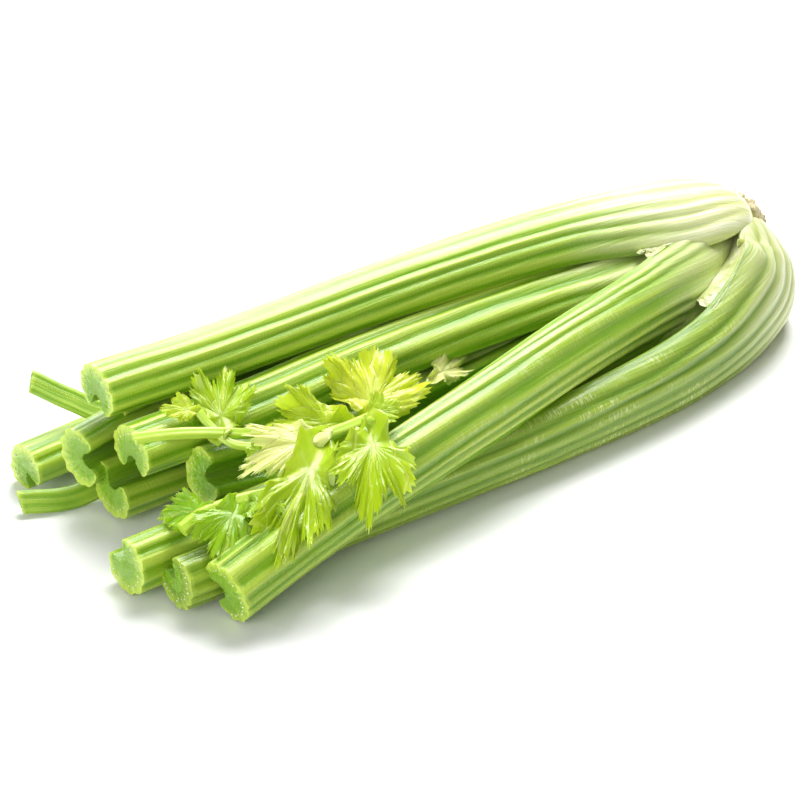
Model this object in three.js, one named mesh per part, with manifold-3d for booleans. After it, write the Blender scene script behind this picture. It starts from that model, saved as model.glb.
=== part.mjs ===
// A head of celery lying on its side on a table, trimmed at both ends.
// Nine ribbed leaf stalks grow from one short root crown. They nest in each other at the
// crown, belly out, and splay towards their cut tips. Thin inner stems carry the leaves.
// Millimetres, +Z up. The head is laid out with its root plate at x = 0 and its tips
// towards -X, and is then shifted so that the origin is the bottom centre of its box.
import * as THREE from 'three';
import { mergeVertices } from 'three/addons/utils/BufferGeometryUtils.js';
import Module from 'manifold-3d';

const wasm = await Module();
wasm.setup();

// Driving dimensions
const ROOT_HEIGHT = 46; // centre of the root plate above the table
const ROOT_TILT = 29; // degrees that the root plate looks up
const CLEARANCE = 0.35; // gap that neighbouring pieces keep
const RIB_HEIGHT = 1.1; // how far a rib stands out of a stalk's back
const BLADE = 0.8; // thickness of a leaf blade
const TABLE_SIZE = 800;
const TABLE_DEPTH = 100;
const MERGE = 1e-4; // corners nearer than this are one

const rad = THREE.MathUtils.degToRad;
const lerp = THREE.MathUtils.lerp;
const smooth = THREE.MathUtils.smoothstep;
const vec = (p) => new THREE.Vector3(...p);

// Materials
const finish = (color, roughness) => new THREE.MeshStandardMaterial({ color, roughness, metalness: 0 });
const stalkGreen = finish(0x9cc53c, 0.4);
const heartPale = finish(0xd8e68c, 0.45);
const leafGreen = finish(0xb4dc32, 0.5);
const leafDark = finish(0x7fb82a, 0.5);
const rootCream = finish(0xe0d3a8, 0.8);

// Solids. A geometry becomes a manifold-3d solid once its shared corners are merged.
function solidOf(geometry) {
  const bare = geometry.clone();
  bare.deleteAttribute('normal');
  bare.deleteAttribute('uv');
  const merged = mergeVertices(bare, MERGE);
  const solid = (order) => new wasm.Manifold(new wasm.Mesh({
    numProp: 3,
    vertProperties: new Float32Array(merged.attributes.position.array),
    triVerts: new Uint32Array(order),
  }));
  const faces = Array.from(merged.index.array);
  const made = solid(faces);
  return made.volume() > 0 ? made : solid(faces.reverse());
}

function geometryOf(solid) {
  const mesh = solid.getMesh();
  return new THREE.BufferGeometry()
    .setAttribute('position', new THREE.BufferAttribute(mesh.vertProperties, 3))
    .setIndex(new THREE.BufferAttribute(mesh.triVerts, 1));
}

const largestBody = (solid) => solid.decompose().sort((a, b) => b.volume() - a.volume())[0];

// A closed skin over rings of points. Each ring is the same outline further along a route.
function loft(rings, caps) {
  const count = rings[0].length;
  const index = [];
  for (let i = 0; i + 1 < rings.length; i++) {
    for (let j = 0; j < count; j++) {
      const a = i * count + j;
      const b = i * count + (j + 1) % count;
      index.push(a, b, a + count, b, b + count, a + count);
    }
  }
  const last = (rings.length - 1) * count;
  for (const [a, b, c] of caps) index.push(a, c, b, last + a, last + b, last + c);
  return new THREE.BufferGeometry()
    .setAttribute('position', new THREE.Float32BufferAttribute(rings.flat().flatMap((p) => p.toArray()), 3))
    .setIndex(index);
}

// The root plate faces away from the tips and a little up.
const rootCentre = new THREE.Vector3(0, 0, ROOT_HEIGHT);
const rootNormal = new THREE.Vector3(Math.cos(rad(ROOT_TILT)), 0, Math.sin(rad(ROOT_TILT)));
const front = new THREE.Vector3(0, -1, 0);
const crownUp = new THREE.Vector3(-Math.sin(rad(ROOT_TILT)), 0, Math.cos(rad(ROOT_TILT)));

// Directions round the head, seen from the tips: 0 is the front, 90 up, 180 the back.
const around = (degrees, up = new THREE.Vector3(0, 0, 1)) => front.clone()
  .multiplyScalar(Math.cos(rad(degrees))).addScaledVector(up, Math.sin(rad(degrees)));

// A point on the crown, at an angle round it, a radius out and a depth below the plate.
const onCrown = (degrees, radius, depth) => rootCentre.clone()
  .addScaledVector(around(degrees, crownUp), radius).addScaledVector(rootNormal, -depth);

// A stalk's section is a thick arc: wide, thin and open in the sheath, and a deep thick
// channel at the cut tip. Rows: distance from the crown, arc length, half angle,
// thickness in the middle, thickness at the margins.
const SECTIONS = [
  [0, 30, 42, 4.6, 2.4],
  [12, 45, 43, 5.8, 2.0],
  [36, 56, 48, 6.4, 1.8],
  [70, 50, 56, 7.2, 2.4],
  [104, 41, 66, 8.0, 4.4],
  [160, 36, 78, 9.6, 6.2],
  [250, 31, 94, 11.4, 7.4],
  [370, 27.5, 106, 13.2, 8.4],
];

function sectionAt(distance) {
  const next = Math.max(1, SECTIONS.findIndex((row) => row[0] >= distance));
  const i = distance > SECTIONS.at(-1)[0] ? SECTIONS.length - 1 : next;
  const share = THREE.MathUtils.clamp(
    (distance - SECTIONS[i - 1][0]) / (SECTIONS[i][0] - SECTIONS[i - 1][0]), 0, 1);
  return SECTIONS[i].map((value, k) => lerp(SECTIONS[i - 1][k], value, share));
}

// The outline of one section as [side, out] pairs round the arc. Every other point of its
// back stands out as a rib, and in a grown outline all of them do.
const INNER_STEPS = 5;
const RIBS_START = 40; // ribs reach full height this far from the crown
const LIP_ROUND = 0.9; // how far the rounded margins stand out, in half thicknesses
const GROOVE_FLOOR = 0.8; // the groove stays at least this wide
const WALL_FULLNESS = 4; // the higher, the nearer the margins the wall keeps its thickness

function stalkOutline(distance, width, ribs, grow) {
  const [, arc, half, middle, margin] = sectionAt(distance);
  const phi = rad(half);
  const radius = arc * width / (2 * phi);
  const centre = radius * Math.sin(phi) / phi;
  const wall = (turn) => margin + (middle - margin) * (1 - turn ** WALL_FULLNESS) + 2 * grow;
  const at = (turn, r) => [r * Math.sin(turn * phi), r * Math.cos(turn * phi) - centre];
  const outline = [];
  const steps = 2 * ribs;
  for (let k = 0; k <= steps; k++) {
    const turn = -1 + 2 * k / steps;
    const ribbed = k > 0 && k < steps && (grow > 0 || k % 2);
    const rib = ribbed ? RIB_HEIGHT * smooth(distance, 0, RIBS_START) : 0;
    outline.push(at(turn, radius + wall(turn) / 2 + rib));
  }
  const lip = (margin / 2 + grow) * LIP_ROUND / (radius * phi);
  outline.push(at(1 + lip, radius));
  for (let k = 0; k <= INNER_STEPS; k++) {
    const turn = 1 - 2 * k / INNER_STEPS;
    outline.push(at(turn, Math.max(GROOVE_FLOOR, radius - wall(turn) / 2)));
  }
  outline.push(at(-1 - lip, radius));
  return outline.reverse();
}

// A round or oval stem's outline.
const STEM_SIDES = 10;

function stemOutline(size, flat, grow) {
  return Array.from({ length: STEM_SIDES }, (_, k) => {
    const turn = 2 * Math.PI * (k + 0.5) / STEM_SIDES;
    return [(size / 2 + grow) * Math.cos(turn), (size / 2 * flat + grow) * Math.sin(turn)];
  });
}

// Sweeps an outline along a route. The outline's out side turns from one angle round the
// head to another. flare leans its start towards the root plate, where a sheath sets out
// across the crown.
const ROLL_END = 0.9; // share of the route where the turning is done
const FLARE_END = 0.13; // share of the route where the leaning is done

function sweep(points, stations, rollFrom, rollTo, flare, outlineAt) {
  const route = new THREE.CatmullRomCurve3(points, false, 'centripetal');
  const length = route.getLength();
  let flatOutline;
  const rings = stations.map((share) => {
    const place = route.getPointAt(share);
    const along = route.getTangentAt(share);
    const roll = lerp(rollFrom, rollTo, smooth(share, 0, ROLL_END));
    const out = around(roll).addScaledVector(rootNormal, flare * (1 - smooth(share, 0, FLARE_END)));
    out.addScaledVector(along, -out.dot(along)).normalize();
    const side = new THREE.Vector3().crossVectors(along, out);
    flatOutline = outlineAt(share, length);
    return flatOutline.map(([s, o]) => place.clone().addScaledVector(side, s).addScaledVector(out, o));
  });
  const caps = THREE.ShapeUtils.triangulateShape(flatOutline.map(([x, y]) => new THREE.Vector2(x, y)), []);
  return solidOf(loft(rings, caps));
}

// Leaf stalks. seat is the angle round the crown and whorl how far in it sits there, 1 the
// outermost. route is the centre line from the belly to the tip, width its breadth at the
// crown and at the tip, and tip the way the stalk's back faces there. Those that show
// best come first and keep their full shape.
const STALKS = {
  stalk_top: {
    seat: 82, whorl: 1, tip: 90, width: [1.1, 0.96], ribs: 8,
    route: [[-18, -2, 59], [-45, 3, 62.5], [-80, 11, 64], [-120, 19, 63.5], [-200, 28, 60.8], [-290, 35, 57],
      [-349, 39, 57.5]],
  },
  stalk_low_front: {
    seat: -6, whorl: 1, tip: -42, width: [1.28, 0.9], ribs: 8,
    route: [[-5.5, -22, 36], [-9, -31, 29], [-18, -38.5, 23], [-37, -46, 18], [-63, -52.5, 14], [-100, -58, 12.5],
      [-170, -58.5, 12.5], [-250, -53.5, 12.5], [-371, -46, 13]],
  },
  stalk_front: {
    seat: 14, whorl: 2, tip: 14, width: [1, 1.08], ribs: 8,
    route: [[-16, -14.5, 34], [-42, -23.5, 33.5], [-89, -34, 38], [-150, -45.5, 40.6], [-212, -56, 39], [-278, -61, 31],
      [-323, -64, 23], [-361, -67, 15]],
  },
  stalk_middle: {
    seat: 100, whorl: 3, tip: 94, width: [1.2, 0.94], ribs: 7,
    route: [[-60, 3, 44], [-99, 2, 43.5], [-139, 6, 43], [-187, 10, 42], [-242, 12, 41], [-288, 12.5, 39.5],
      [-350, 14, 40]],
  },
  stalk_back: {
    seat: 148, whorl: 1, tip: 188, width: [0.98, 0.95], ribs: 7,
    route: [[-18, 16, 51], [-44, 32, 45], [-80, 46, 39], [-160, 51, 34], [-240, 51, 30], [-316, 47, 28], [-359, 41, 27]],
  },
  stalk_far_back: {
    seat: 218, whorl: 1, tip: 125, width: [0.98, 0.84], ribs: 7,
    route: [[-12, 21, 32], [-36, 38, 19], [-80, 54, 15.5], [-160, 65, 15], [-240, 70, 14], [-310, 72, 12],
      [-367, 72, 10.5]],
  },
  stalk_under: {
    seat: 276, whorl: 1, tip: 248, width: [1, 1.02], ribs: 7,
    route: [[-10, 2, 27], [-34, 6, 10], [-80, 15, 9], [-160, 25, 11], [-250, 26, 12], [-352, 29, 13]],
  },
  stalk_low_middle: {
    seat: -60, whorl: 2, tip: -42, width: [0.95, 1.06], ribs: 7,
    route: [[-16, -8, 31], [-44, -19, 20], [-90, -28, 15], [-160, -29, 14], [-250, -27, 13], [-380, -24, 13]],
  },
  stalk_short: {
    seat: 190, whorl: 2, tip: 205, width: [0.82, 0.86], ribs: 6,
    route: [[-24, 12, 37], [-50, 13, 29], [-100, 1, 18], [-160, -2, 13], [-220, -4, 14], [-270, -6, 20], [-330, -7, 29]],
  },
};
const WHORL_SEATS = { 1: [12.8, 4.6], 2: [8.5, 10], 3: [4.5, 16] }; // radius and depth at the crown
const STALK_STATIONS = [0, 0.03, 0.065, 0.11, 0.17, 0.23, 0.3, 0.4, 0.51, 0.63, 0.76, 0.88, 1];

function stalkSolid(stalk, grow = 0) {
  const [radius, depth] = WHORL_SEATS[stalk.whorl];
  const points = [onCrown(stalk.seat, radius, depth), ...stalk.route.map(vec)];
  return sweep(points, STALK_STATIONS, stalk.seat, stalk.tip, 1,
    (share, length) => stalkOutline(share * length, lerp(...stalk.width, share), stalk.ribs, grow));
}

// Thin stems, round or flattened, that lie among the leaf stalks.
const STEMS = {
  stem_back: {
    size: 10.5, flat: 0.45, face: 40,
    route: [[-150, 66, 35], [-220, 70, 34], [-275, 69, 31], [-310, 66.5, 27], [-326, 66, 25.5], [-340, 75.5, 33.5],
      [-352, 86, 42]],
  },
  stem_low: {
    size: 10, flat: 0.55, face: 30,
    route: [[-180, 42, 12], [-260, 43, 10], [-305, 43, 10], [-335, 44, 8.5], [-360, 46.5, 5], [-380, 56, 6]],
  },
  stem_thin: {
    size: 6, flat: 0.6, face: 60,
    route: [[-160, 20, 47], [-235, 30, 43], [-272, 37, 42], [-300, 40, 42.5], [-336, 41, 41.5]],
  },
  heart_stalk: {
    size: 8.6, flat: 0.85, face: 60,
    route: [[-110, -4, 27], [-150, 0, 26], [-192, 0, 26], [-228, -12, 30], [-246, -24, 36]],
  },
  side_stem: {
    size: 5.4, flat: 0.8, face: 60,
    route: [[-296, -11, 38], [-312, -12, 45], [-326, -8, 49], [-340, -2, 51], [-354, 5, 51]],
  },
};
const STEM_STATIONS = [0, 0.1, 0.2, 0.3, 0.4, 0.5, 0.6, 0.7, 0.8, 0.9, 1];

function stemSolid({ size, flat, face, route }, grow = 0) {
  return sweep(route.map(vec), STEM_STATIONS, face, face, 0, () => stemOutline(size, flat, grow));
}

// Half of a leaf's outline: angle from the midrib and distance from the leaf's heart, for
// three toothed lobes and a wedge-shaped base.
const LEAF_HALF = [
  [0, 1], [7, 0.8], [13, 0.9], [19, 0.66], [26, 0.7], [33, 0.42], [41, 0.7], [47, 0.66], [53, 0.88], [60, 0.72],
  [68, 0.9], [75, 0.66], [84, 0.74], [93, 0.5], [102, 0.54], [116, 0.34], [145, 0.3],
];
const HEART_SHARE = 0.34; // where the heart lies along the midrib
const LEAF_RINGS = [0.5, 1];
const WAVE = 0.07; // how much its edge is fluted
const FLUTES = 5;

// Lobes point straight out at 1 and are drawn towards the midrib below it.
const gathered = (signed, gather) => signed * lerp(gather, 1, (signed / 180) ** 2);

// One leaf. base and tip end the midrib, face is the way it looks, curl bends both ends
// back from the face, cup lifts its sides, and turn shifts the flutes round the edge.
function leafSolid({ base, tip, face, width, curl, cup, gather, turn }, grow = 0) {
  const along = vec(tip).sub(vec(base));
  const length = along.length();
  along.normalize();
  const out = vec(face);
  out.addScaledVector(along, -out.dot(along)).normalize();
  const side = new THREE.Vector3().crossVectors(along, out);
  const heart = vec(base).addScaledVector(along, length * HEART_SHARE);
  const wedge = [180, HEART_SHARE / (1 - HEART_SHARE)];
  const edge = [...LEAF_HALF, wedge, ...LEAF_HALF.slice(1).reverse().map(([angle, r]) => [360 - angle, r])];
  const count = edge.length;
  const skin = [heart.clone()];
  for (const ring of LEAF_RINGS) {
    for (const [angle, r] of edge) {
      const reach = ring * (r * length * (1 - HEART_SHARE) + 2 * grow);
      const drawn = rad(gathered(angle > 180 ? angle - 360 : angle, gather));
      const x = reach * Math.cos(drawn);
      const y = reach * Math.sin(drawn) * width;
      const lift = WAVE * ring * ring * Math.sin(rad(FLUTES * angle) + turn)
        - curl * Math.sign(x) * (x / length) ** 2 + cup * (y / length) ** 2;
      skin.push(heart.clone().addScaledVector(along, x).addScaledVector(side, y).addScaledVector(out, lift * length));
    }
  }
  const faces = [];
  for (let j = 0; j < count; j++) {
    const a = 1 + j;
    const b = 1 + (j + 1) % count;
    faces.push(0, b, a, a, b, a + count, b, b + count, a + count);
  }
  const middle = new THREE.BufferGeometry().setFromPoints(skin).setIndex(faces);
  middle.computeVertexNormals();
  const normals = middle.attributes.normal;
  const layer = (way) => skin.map((p, i) => p.clone()
    .addScaledVector(new THREE.Vector3().fromBufferAttribute(normals, i), way * (BLADE / 2 + grow)));
  const index = [...faces];
  for (let i = 0; i < faces.length; i += 3) {
    index.push(faces[i] + skin.length, faces[i + 2] + skin.length, faces[i + 1] + skin.length);
  }
  for (let j = 0; j < count; j++) {
    const a = 1 + count + j;
    const b = 1 + count + (j + 1) % count;
    index.push(a, b, b + skin.length, a, b + skin.length, a + skin.length);
  }
  return solidOf(new THREE.BufferGeometry().setFromPoints([...layer(1), ...layer(-1)]).setIndex(index));
}

// Leaf sprays. twigs are short stems that tie the leaves of a spray together.
const SPRAYS = {
  heart_leaves: {
    twigs: [
      { size: 6, flat: 0.8, face: 60, route: [[-249, -26, 37], [-258, -30, 40], [-270, -34, 43], [-288, -37, 46]] },
      { size: 4, flat: 0.8, face: 60, route: [[-262, -32, 41], [-268, -42, 50], [-275, -52, 55]] },
      { size: 4, flat: 0.8, face: 60, route: [[-256, -28, 38], [-255, -28, 39], [-250, -24, 41]] },
    ],
    leaves: [
      { base: [-259, -32, 34], tip: [-231, -2, 56], face: [-0.4, -0.8, 0.5],
        width: 1, curl: 0.15, cup: 0.4, gather: 0.9, turn: 0.4 },
      { base: [-266, -32, 43], tip: [-309, -24, 50], face: [-0.1, -0.55, 0.8],
        width: 0.85, curl: 0.3, cup: 0.3, gather: 0.8, turn: 1.3 },
      { base: [-272, -45, 52], tip: [-257, -50, 57], face: [-0.1, -0.4, 1],
        width: 1, curl: 0.3, cup: 0.4, gather: 1, turn: 2.2 },
      { base: [-270, -46, 53], tip: [-304, -88, 44], face: [-0.1, -0.3, 1],
        width: 0.7, curl: 0.6, cup: 0.2, gather: 0.7, turn: 3.1 },
      { base: [-284, -34, 48], tip: [-350, -84, 36], face: [-0.1, -0.2, 1],
        width: 0.5, curl: 0.24, cup: -0.6, gather: 0.45, turn: 0.9 },
      { base: [-284, -36, 47], tip: [-330, -38, 48], face: [-0.2, -0.5, 0.85],
        width: 0.8, curl: 0.4, cup: -0.7, gather: 0.8, turn: 2.9 },
    ],
  },
  side_leaves: {
    twigs: [{ size: 4, flat: 0.8, face: 60, route: [[-313, -21, 43], [-320, -15, 45], [-323, -5, 50], [-324, 1, 54]] }],
    leaves: [
      { base: [-324, -12, 44], tip: [-298, 17, 62], face: [-0.5, -0.7, 0.6],
        width: 0.75, curl: 0.18, cup: 0.4, gather: 0.62, turn: 0 },
      { base: [-322, 0, 53], tip: [-336, 12, 57], face: [-0.1, -0.3, 1],
        width: 0.8, curl: 0.36, cup: 0.4, gather: 0.8, turn: 1 },
      { base: [-314, -18, 44], tip: [-314, -42, 43], face: [-0.2, -0.6, 0.8],
        width: 0.8, curl: 0.42, cup: 0.4, gather: 0.8, turn: 2 },
    ],
  },
  low_leaves: {
    twigs: [{ size: 6.5, flat: 0.8, face: 60, route: [[-362, -38, 31], [-350, -38, 34], [-336, -42, 36], [-324, -46, 37]] }],
    leaves: [
      { base: [-345, -39, 35], tip: [-364, -22, 31], face: [-0.3, -0.3, 1],
        width: 0.8, curl: 0.3, cup: 0.4, gather: 0.8, turn: 0 },
      { base: [-334, -40, 38], tip: [-362, -64, 31], face: [-0.2, -0.5, 0.9],
        width: 0.85, curl: 0.5, cup: -0.3, gather: 0.9, turn: 1.4 },
      { base: [-334, -42, 36], tip: [-330, -64, 41], face: [-0.2, -0.4, 1],
        width: 0.85, curl: 0.3, cup: 0.4, gather: 1, turn: 2.2 },
    ],
  },
  inner_leaf: {
    twigs: [],
    leaves: [
      { base: [-212, -14, 33], tip: [-180, -5, 35], face: [-0.3, -0.7, 0.7],
        width: 0.55, curl: 0.3, cup: 0.6, gather: 0.7, turn: 1 },
    ],
  },
};

function spraySolid({ twigs, leaves }, grow = 0) {
  const parts = [...twigs.map((twig) => stemSolid(twig, grow)), ...leaves.map((leaf) => leafSolid(leaf, grow))];
  return parts.reduce((whole, part) => whole.add(part));
}

// The crown: a rough domed root plate on a short core that narrows into the head.
// Rows: radius and height above the plate. The first four are rough.
const CROWN_PROFILE = [
  [4, 3], [8.5, 2.7], [12.5, 1.8], [15.4, 0.2], [16, -2.6], [12, -5], [8, -11], [5.5, -18], [3, -28],
];
const ROUGH_ROWS = 4;
// Two waves of roughness. Columns: height, turn from side to side, turn from row to row.
const ROUGH_WAVES = [[0.55, 3.1, 2.3], [0.4, 7.7, -1.1]];
const CROWN_SIDES = 16;

function crownSolid() {
  const turnOf = (k) => 360 * k / CROWN_SIDES;
  const roughAt = (k, i) => ROUGH_WAVES.reduce((sum, [rise, side, row]) => sum + rise * Math.sin(side * k + row * i), 0);
  const rings = CROWN_PROFILE.map(([radius, height], i) => Array.from({ length: CROWN_SIDES }, (_, k) => {
    const rough = i < ROUGH_ROWS ? roughAt(k, i) : 0;
    return onCrown(turnOf(k), radius + rough / 2, -height - rough);
  }));
  const flat = rings[0].map((_, k) => new THREE.Vector2(Math.cos(rad(turnOf(k))), Math.sin(rad(turnOf(k)))));
  return solidOf(loft(rings, THREE.ShapeUtils.triangulateShape(flat, [])));
}

// Everything is cut by its neighbours in turn, so that no two pieces touch, and by the
// table, so that the lowest stalks have flat feet.
const table = solidOf(new THREE.BoxGeometry(TABLE_SIZE, TABLE_SIZE, TABLE_DEPTH).translate(0, 0, -TABLE_DEPTH / 2));
const solids = {};
const keepClear = [];
function settle(name, solid, grown = solid) {
  const cut = keepClear.reduce((left, other) => left.subtract(other), solid.subtract(table));
  solids[name] = largestBody(cut);
  keepClear.push(grown.add(solids[name]));
}
for (const [name, stalk] of Object.entries(STALKS)) settle(name, stalkSolid(stalk), stalkSolid(stalk, CLEARANCE));
for (const [name, stem] of Object.entries(STEMS)) settle(name, stemSolid(stem), stemSolid(stem, CLEARANCE));
for (const [name, spray] of Object.entries(SPRAYS)) settle(name, spraySolid(spray), spraySolid(spray, CLEARANCE));
settle('crown', crownSolid());

// Assembly, with the origin at the bottom centre of the whole
const colours = {
  crown: rootCream, heart_stalk: heartPale, side_stem: heartPale,
  heart_leaves: leafGreen, side_leaves: leafGreen, inner_leaf: leafGreen, low_leaves: leafDark,
};
const head = new THREE.Group();
for (const [name, solid] of Object.entries(solids)) {
  const mesh = new THREE.Mesh(geometryOf(solid), colours[name] ?? stalkGreen);
  mesh.name = name;
  head.add(mesh);
}
const middle = new THREE.Box3().setFromObject(head).getCenter(new THREE.Vector3());
for (const mesh of head.children) mesh.geometry.translate(-middle.x, -middle.y, 0);

export default head;
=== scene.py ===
# A head of celery lying on its side, trimmed at both ends. It is built round the packed
# CAD frame: nine ribbed leaf stalks, thin stems between them, young leaves, root crown.
import math

import bmesh
import bpy
import numpy as np
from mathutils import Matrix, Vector, noise
from mathutils.bvhtree import BVHTree


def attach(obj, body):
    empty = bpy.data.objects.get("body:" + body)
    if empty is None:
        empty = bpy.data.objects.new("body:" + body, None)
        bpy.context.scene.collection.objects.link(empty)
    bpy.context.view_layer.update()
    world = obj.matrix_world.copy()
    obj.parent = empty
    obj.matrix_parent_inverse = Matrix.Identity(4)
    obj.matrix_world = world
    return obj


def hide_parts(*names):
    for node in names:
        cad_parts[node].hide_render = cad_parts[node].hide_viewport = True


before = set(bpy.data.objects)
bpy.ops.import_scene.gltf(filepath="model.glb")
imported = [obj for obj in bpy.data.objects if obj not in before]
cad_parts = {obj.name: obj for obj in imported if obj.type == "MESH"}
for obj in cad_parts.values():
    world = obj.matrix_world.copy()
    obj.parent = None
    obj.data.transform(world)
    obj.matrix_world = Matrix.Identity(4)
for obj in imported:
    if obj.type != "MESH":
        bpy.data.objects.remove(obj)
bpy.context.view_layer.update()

# Leaf stalks. Each is one thick crisp leaf stalk: a wide thin sheath where it wraps the
# crown, closing to a deep ribbed channel at its cut tip. It is swept along its centre line,
# then cut back wherever a neighbour that lies nearer the eye already fills the space.
MM = 0.001
HEAD_SHIFT = (186.3508, -1.0633, 0)  # from the root plate to the middle of the whole, mm
ROOT_HEIGHT = 46  # centre of the root plate above the table, mm
ROOT_TILT = math.radians(29)  # how far the root plate looks up
CLEARANCE = 0.35  # gap between neighbours, mm
RIB_HEIGHT = 1.35  # mm
RIBS_START = 26  # ribs reach full height this far from the crown, mm
GROOVE_FLOOR = 0.8  # smallest radius of the groove, mm
LIP_ROUND = 0.9  # how far the rounded margins stand out, in half thicknesses
LIP_LENGTH = 1.3  # how far in they start to round, in reaches of the margin
ROLL_END, FLARE_END = 0.9, 0.13  # shares of the route where turning and leaning are done
LONGEST = 400  # mm, length of the size tables
# distance from the crown, arc length, half angle, thickness in the middle and at the margins
SECTIONS = [
    (0, 30, 42, 4.6, 2.4), (12, 45, 43, 5.8, 2.0), (36, 56, 48, 6.4, 1.8), (70, 50, 56, 7.2, 2.4),
    (104, 41, 66, 8.0, 4.4), (160, 36, 78, 9.6, 6.2), (250, 31, 94, 11.4, 7.4), (370, 27.5, 106, 13.2, 8.4),
    (LONGEST, 27.5, 106, 13.2, 8.4),
]
WHORL_SEATS = {1: (12.8, 4.6), 2: (8.5, 10), 3: (4.5, 16)}  # radius and depth at the crown, mm
STALK_ROWS, STALK_SIDES = 176, 192  # rows along a stalk and points round it
BACK_SHARE = 0.74  # share of the points that lie on the ribbed back
CROWN_CAP, TIP_CAP = 3, 9  # rows that close its two ends
ROUTE_STEPS = 40  # points between two given points of a route
# name: seat, whorl, tip, widths, ribs, greyness (darker, greyer skin, partly painted shade), then the centre line in
# mm from the root
STALKS = {
    "stalk_top": (82, 1, 90, (1.1, 0.96), 8, 0.0, [
        (-18, -2, 59), (-45, 3, 62.5), (-80, 11, 64), (-120, 19, 63.5), (-200, 28, 60.8), (-290, 35, 57),
        (-349, 39, 57.5)]),
    "stalk_low_front": (-6, 1, -42, (1.4, 0.9), 8, 1.0, [
        (-5.5, -22, 36), (-9, -31, 29), (-18, -38.5, 23), (-37, -46, 18), (-63, -52.5, 14), (-100, -58, 12.5),
        (-170, -58.5, 12.5), (-250, -53.5, 12.5), (-371, -46, 13)]),
    "stalk_front": (14, 2, 14, (1, 1.08), 8, 0.35, [
        (-16, -14.5, 34), (-42, -23.5, 33.5), (-89, -34, 38), (-150, -45.5, 40.6), (-212, -56, 39),
        (-278, -61, 31), (-323, -64, 23), (-361, -67, 15)]),
    "stalk_middle": (100, 3, 94, (1.2, 0.94), 7, 0.1, [
        (-60, 3, 44), (-99, 2, 43.5), (-139, 6, 43), (-187, 10, 42), (-242, 12, 41), (-288, 12.5, 39.5),
        (-350, 14, 40)]),
    "stalk_back": (148, 1, 188, (0.98, 0.95), 7, 0.2, [
        (-18, 16, 51), (-44, 32, 45), (-80, 46, 39), (-160, 51, 34), (-240, 51, 30), (-316, 47, 28),
        (-359, 41, 27)]),
    "stalk_far_back": (218, 1, 125, (0.98, 0.84), 7, 0.3, [
        (-12, 21, 32), (-36, 38, 19), (-80, 54, 15.5), (-160, 65, 15), (-240, 70, 14), (-310, 72, 12),
        (-367, 72, 10.5)]),
    "stalk_under": (276, 1, 248, (1, 1.02), 7, 0.3, [
        (-10, 2, 27), (-34, 6, 10), (-80, 15, 9), (-160, 25, 11), (-250, 26, 12), (-352, 29, 13)]),
    "stalk_low_middle": (-60, 2, -42, (0.95, 1.06), 7, 0.2, [
        (-16, -8, 31), (-44, -19, 20), (-90, -28, 15), (-160, -29, 14), (-250, -27, 13), (-380, -24, 13)]),
    "stalk_short": (190, 2, 205, (0.82, 0.86), 6, 0.1, [
        (-24, 12, 37), (-50, 13, 29), (-100, 1, 18), (-160, -2, 13), (-220, -4, 14), (-270, -6, 20),
        (-330, -7, 29)]),
}


class Wire:
    """A value on its way through a node tree, so that a sum can be written as a sum."""

    def __init__(self, tree, socket):
        self.tree, self.socket = tree, socket

    def sum(self, operation, *others, clamp=False):
        values = enumerate((self, *others))
        return Wire(self.tree, put(self.tree, "ShaderNodeMath", values, operation=operation,
                                   use_clamp=clamp).outputs[0])

    def vector(self, operation, *others):
        node = put(self.tree, "ShaderNodeVectorMath", enumerate((self, *others)), operation=operation)
        return Wire(self.tree, node.outputs["Value" if operation == "DOT_PRODUCT" else "Vector"])

    def stretched(self, factor):
        node = put(self.tree, "ShaderNodeVectorMath", {0: self, "Scale": factor}, operation="SCALE")
        return Wire(self.tree, node.outputs["Vector"])

    def part(self, axis):
        return Wire(self.tree, put(self.tree, "ShaderNodeSeparateXYZ", {0: self}).outputs[axis])

    def ranged(self, low, high, start=0.0, end=1.0, kind="SMOOTHSTEP"):
        node = put(self.tree, "ShaderNodeMapRange", {"Value": self, "From Min": low, "From Max": high,
                   "To Min": start, "To Max": end}, interpolation_type=kind)
        return Wire(self.tree, node.outputs["Result"])

    def __add__(self, other):
        return self.sum("ADD", other)

    def __sub__(self, other):
        return self.sum("SUBTRACT", other)

    def __rsub__(self, other):
        return self * -1 + other

    def __mul__(self, other):
        return self.sum("MULTIPLY", other)

    def __truediv__(self, other):
        return self.sum("DIVIDE", other)

    def __pow__(self, other):
        return self.sum("POWER", other)

    __radd__, __rmul__ = __add__, __mul__


def put(tree, kind, inputs=(), **settings):
    """Adds a node to a tree. Inputs are socket names or numbers with their values or wires."""
    node = tree.nodes.new(kind)
    for name, value in settings.items():
        setattr(node, name, value)
    for name, value in dict(inputs).items():
        if isinstance(value, Wire):
            tree.links.new(value.socket, node.inputs[name])
        else:
            node.inputs[name].default_value = value
    return node


def joined(x, y, z):
    """Three values as one vector; at least one of them is a wire."""
    tree = next(value.tree for value in (x, y, z) if isinstance(value, Wire))
    return Wire(tree, put(tree, "ShaderNodeCombineXYZ", {0: x, 1: y, 2: z}).outputs[0])


def speckle(place, scale=1.0, detail=2.0):
    """Soft noise at a place, from 0 to 1."""
    node = put(place.tree, "ShaderNodeTexNoise", {"Vector": place, "Scale": scale, "Detail": detail})
    return Wire(place.tree, node.outputs[0])


def measured(distance, column):
    """A size read off the table of sections, by its distance from the crown."""
    top = max(row[column] for row in SECTIONS)
    node = put(distance.tree, "ShaderNodeFloatCurve", {"Value": distance / LONGEST})
    points = node.mapping.curves[0].points
    for point, row in zip((points[0], points[1]), (SECTIONS[0], SECTIONS[-1])):
        point.location = (row[0] / LONGEST, row[column] / top)
    for row in SECTIONS[1:-1]:
        points.new(row[0] / LONGEST, row[column] / top)
    node.mapping.update()
    return Wire(distance.tree, node.outputs[0]) * top


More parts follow.
